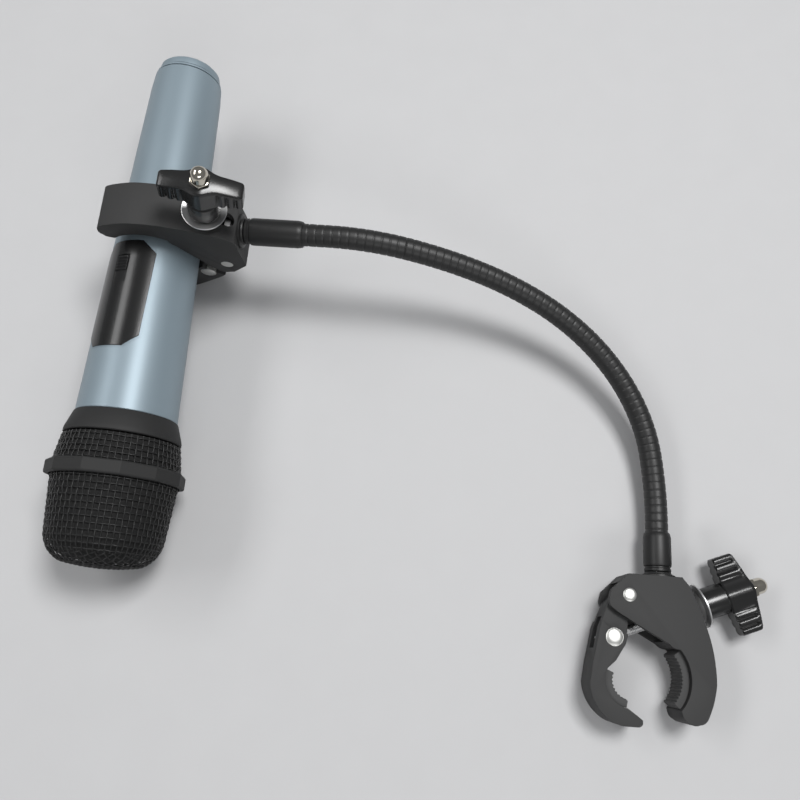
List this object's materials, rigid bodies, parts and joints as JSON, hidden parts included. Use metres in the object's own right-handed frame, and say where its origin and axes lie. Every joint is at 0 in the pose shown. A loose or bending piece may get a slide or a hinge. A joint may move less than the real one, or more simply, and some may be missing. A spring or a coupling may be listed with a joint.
{
  "type": "clamp-on gooseneck microphone set",
  "caption": "Tapered handheld microphone with a wire basket head, gripped by a screw clamp on a bendable gooseneck that ends in a second screw clamp for a stand or pole.",
  "frame": {"origin": "axis of the round grip of the stand clamp, on the plane that the set lies on", "axes": "+Z away from the surface it lies on and along the stand clamp's jaw axis; +Y from the stand clamp into the gooseneck; the microphone lies on the -X side with its head towards -Y"},
  "size_m": [0.2922, 0.2668, 0.0925],
  "materials": {
    "clamp_black": "satin black moulded casting, lighter worn edges",
    "rubber": "dark grey toothed rubber",
    "rivet_steel": "mottled bright rivet ends",
    "zinc_steel": "bright zinc plate",
    "knob_black": "glossy black ribbed plastic",
    "nickel": "warm nickel plate",
    "sleeve_black": "smooth satin black",
    "gooseneck_black": "black ribbed metal hose",
    "handle_blue": "satin metallic blue-grey paint",
    "collar_black": "satin black ring",
    "mesh_black": "black woven wire",
    "foam": "open black foam",
    "panel_gloss": "glossy black moulded panel",
    "board_green": "solder mask",
    "chip_black": "moulded black",
    "battery_wrap": "plain printed sleeve",
    "copper": "bare wire",
    "diaphragm_film": "thin film",
    "magnet_iron": "plated magnet steel",
    "shock_rubber": "soft black rubber"
  },
  "bodies": {
    "stand": {"stand_frame": "clamp_black", "stand_fixed_pad": "rubber", "stand_pivot_pin": "rivet_steel", "stand_stud": "zinc_steel", "stand_lock_nut": "sleeve_black"},
    "stand_washer": {"stand_washer": "zinc_steel"},
    "stand_screw": {"stand_screw_rod": "zinc_steel", "stand_knob": "knob_black", "stand_acorn_nut": "nickel"},
    "stand_jaw": {"stand_jaw": "clamp_black", "stand_moving_pad": "rubber"},
    "stand_trunnion": {"stand_trunnion": "rivet_steel"},
    "mic_clamp": {"mic_clamp_frame": "clamp_black", "mic_clamp_fixed_pad": "rubber", "mic_clamp_pivot_pin": "rivet_steel", "mic_clamp_stud": "zinc_steel", "mic_clamp_lock_nut": "sleeve_black"},
    "mic_clamp_washer": {"mic_clamp_washer": "zinc_steel"},
    "mic_clamp_screw": {"mic_clamp_screw_rod": "zinc_steel", "mic_clamp_knob": "knob_black", "mic_clamp_acorn_nut": "nickel"},
    "mic_clamp_jaw": {"mic_clamp_jaw": "clamp_black", "mic_clamp_moving_pad": "rubber"},
    "mic_clamp_trunnion": {"mic_clamp_trunnion": "rivet_steel"},
    "neck_1": {"stand_sleeve": "sleeve_black", "neck_1": "gooseneck_black"},
    "neck_2": {"neck_2": "gooseneck_black"},
    "neck_3": {"neck_3": "gooseneck_black"},
    "neck_4": {"neck_4": "gooseneck_black"},
    "neck_5": {"neck_5": "gooseneck_black"},
    "neck_6": {"neck_6": "gooseneck_black"},
    "neck_7": {"neck_7": "gooseneck_black"},
    "neck_8": {"neck_8": "gooseneck_black", "mic_clamp_sleeve": "sleeve_black"},
    "microphone": {"mic_body": "handle_blue", "collar_ring": "collar_black", "switch_panel": "panel_gloss", "slide_switch": "panel_gloss", "circuit_board": "board_green", "transmitter_chip": "chip_black", "battery_cell": "battery_wrap", "battery_cradle": "chip_black", "contact_spring": "copper", "capsule_shell": "chip_black", "diaphragm": "diaphragm_film", "voice_coil": "copper", "magnet": "magnet_iron", "pole_cup": "magnet_iron", "shock_mount": "shock_rubber"},
    "grille": {"upper_basket": "mesh_black", "grille_band": "collar_black", "lower_basket": "mesh_black", "foam_liner": "foam"},
    "tail_cap": {"tail_cap": "handle_blue"},
    "switch_slider": {"switch_slider": "panel_gloss"}
  },
  "joints": [
    {"name": "stand_rod_swing", "type": "hinge", "parent": "stand", "child": "stand_washer", "pos_m": [0.02103, 0.02722, 0.009], "axis": [0, 0, 1], "range_deg": [-7.56, 3.93]},
    {"name": "stand_knob_turn", "type": "hinge", "parent": "stand_washer", "child": "stand_screw", "pos_m": [0.02103, 0.02722, 0.009], "axis": [0.9282, 0.3722, 0], "range_deg": [-1188, 2376]},
    {"name": "stand_jaw_close", "type": "hinge", "parent": "stand", "child": "stand_jaw", "pos_m": [-0.0064, 0.0303, 0.009], "axis": [0, 0, 1], "range_deg": [-22.5, 11.5]},
    {"name": "stand_trunnion_turn", "type": "hinge", "parent": "stand_jaw", "child": "stand_trunnion", "pos_m": [-0.0122, 0.0139, 0.009], "axis": [0, 0, 1], "range_deg": [-7.87, 15.24]},
    {"name": "mic_clamp_rod_swing", "type": "hinge", "parent": "mic_clamp", "child": "mic_clamp_washer", "pos_m": [-0.18533, 0.1623, 0.05966], "axis": [0.0174, 0.9989, 0.0445], "range_deg": [-4.36, 0.3]},
    {"name": "mic_clamp_knob_turn", "type": "hinge", "parent": "mic_clamp_washer", "child": "mic_clamp_screw", "pos_m": [-0.18533, 0.1623, 0.05966], "axis": [0.1649, -0.0468, 0.9852], "range_deg": [0, 1188]},
    {"name": "mic_clamp_jaw_close", "type": "hinge", "parent": "mic_clamp", "child": "mic_clamp_jaw", "pos_m": [-0.1808, 0.16343, 0.03246], "axis": [0.0174, 0.9989, 0.0445], "range_deg": [-11.5, 0.5]},
    {"name": "mic_clamp_trunnion_turn", "type": "hinge", "parent": "mic_clamp_jaw", "child": "mic_clamp_trunnion", "pos_m": [-0.19209, 0.16422, 0.01925], "axis": [0.0174, 0.9989, 0.0445], "range_deg": [-0.5, 7.44]},
    {"name": "stand_swivel", "type": "hinge", "parent": "stand", "child": "neck_1", "pos_m": [0.0077, 0.0408, 0.009], "axis": [0, 1, 0], "range_deg": [-90, 90]},
    {"name": "neck_bend_1", "type": "hinge", "parent": "neck_1", "child": "neck_2", "pos_m": [0.0077, 0.0748, 0.009], "axis": [0, 0, 1], "range_deg": [-14, 14]},
    {"name": "neck_lift_2", "type": "hinge", "parent": "neck_2", "child": "neck_3", "pos_m": [0.0032, 0.1015, 0.0122], "axis": [-0.934, -0.3572, 0], "range_deg": [-12, 12]},
    {"name": "neck_bend_3", "type": "hinge", "parent": "neck_3", "child": "neck_4", "pos_m": [-0.0115, 0.125, 0.0182], "axis": [0, 0, 1], "range_deg": [-14, 14]},
    {"name": "neck_bend_4", "type": "hinge", "parent": "neck_4", "child": "neck_5", "pos_m": [-0.0335, 0.1426, 0.0258], "axis": [0, 0, 1], "range_deg": [-14, 14]},
    {"name": "neck_lift_5", "type": "hinge", "parent": "neck_5", "child": "neck_6", "pos_m": [-0.0605, 0.1538, 0.034], "axis": [-0.2881, -0.9576, 0], "range_deg": [-12, 12]},
    {"name": "neck_bend_6", "type": "hinge", "parent": "neck_6", "child": "neck_7", "pos_m": [-0.09, 0.1596, 0.042], "axis": [0, 0, 1], "range_deg": [-14, 14]},
    {"name": "neck_bend_7", "type": "hinge", "parent": "neck_7", "child": "neck_8", "pos_m": [-0.12114, 0.16162, 0.04969], "axis": [0, 0, 1], "range_deg": [-14, 14]},
    {"name": "mic_swivel", "type": "hinge", "parent": "neck_8", "child": "mic_clamp", "pos_m": [-0.17106, 0.16261, 0.04707], "axis": [0.9984, -0.0198, 0.0523], "range_deg": [-90, 90]},
    {"name": "mic_roll", "type": "hinge", "parent": "mic_clamp", "child": "microphone", "pos_m": [-0.2115, 0.164, 0.03175], "axis": [-0.0174, -0.9989, -0.0445], "range_deg": [-90, 90]},
    {"name": "grille_turn", "type": "hinge", "parent": "microphone", "child": "grille", "pos_m": [-0.21305, 0.0751, 0.02779], "axis": [-0.0174, -0.9989, -0.0445], "continuous": true},
    {"name": "tail_cap_turn", "type": "hinge", "parent": "microphone", "child": "tail_cap", "pos_m": [-0.21012, 0.24291, 0.03526], "axis": [-0.0174, -0.9989, -0.0445], "range_deg": [0, 90]},
    {"name": "switch_slide", "type": "slide", "parent": "microphone", "child": "switch_slider", "axis": [-0.0174, -0.9989, -0.0445], "range_m": [0, 0.004]}
  ],
  "couplings": [
    {"joint": "stand_jaw_close", "follows": "stand_knob_turn", "ratio": -0.0092593},
    {"joint": "stand_rod_swing", "follows": "stand_knob_turn", "ratio": -0.0030542},
    {"joint": "stand_trunnion_turn", "follows": "stand_knob_turn", "ratio": 0.0062051},
    {"joint": "mic_clamp_jaw_close", "follows": "mic_clamp_knob_turn", "ratio": -0.0092593},
    {"joint": "mic_clamp_rod_swing", "follows": "mic_clamp_knob_turn", "ratio": -0.0034137},
    {"joint": "mic_clamp_trunnion_turn", "follows": "mic_clamp_knob_turn", "ratio": 0.0058455}
  ]
}
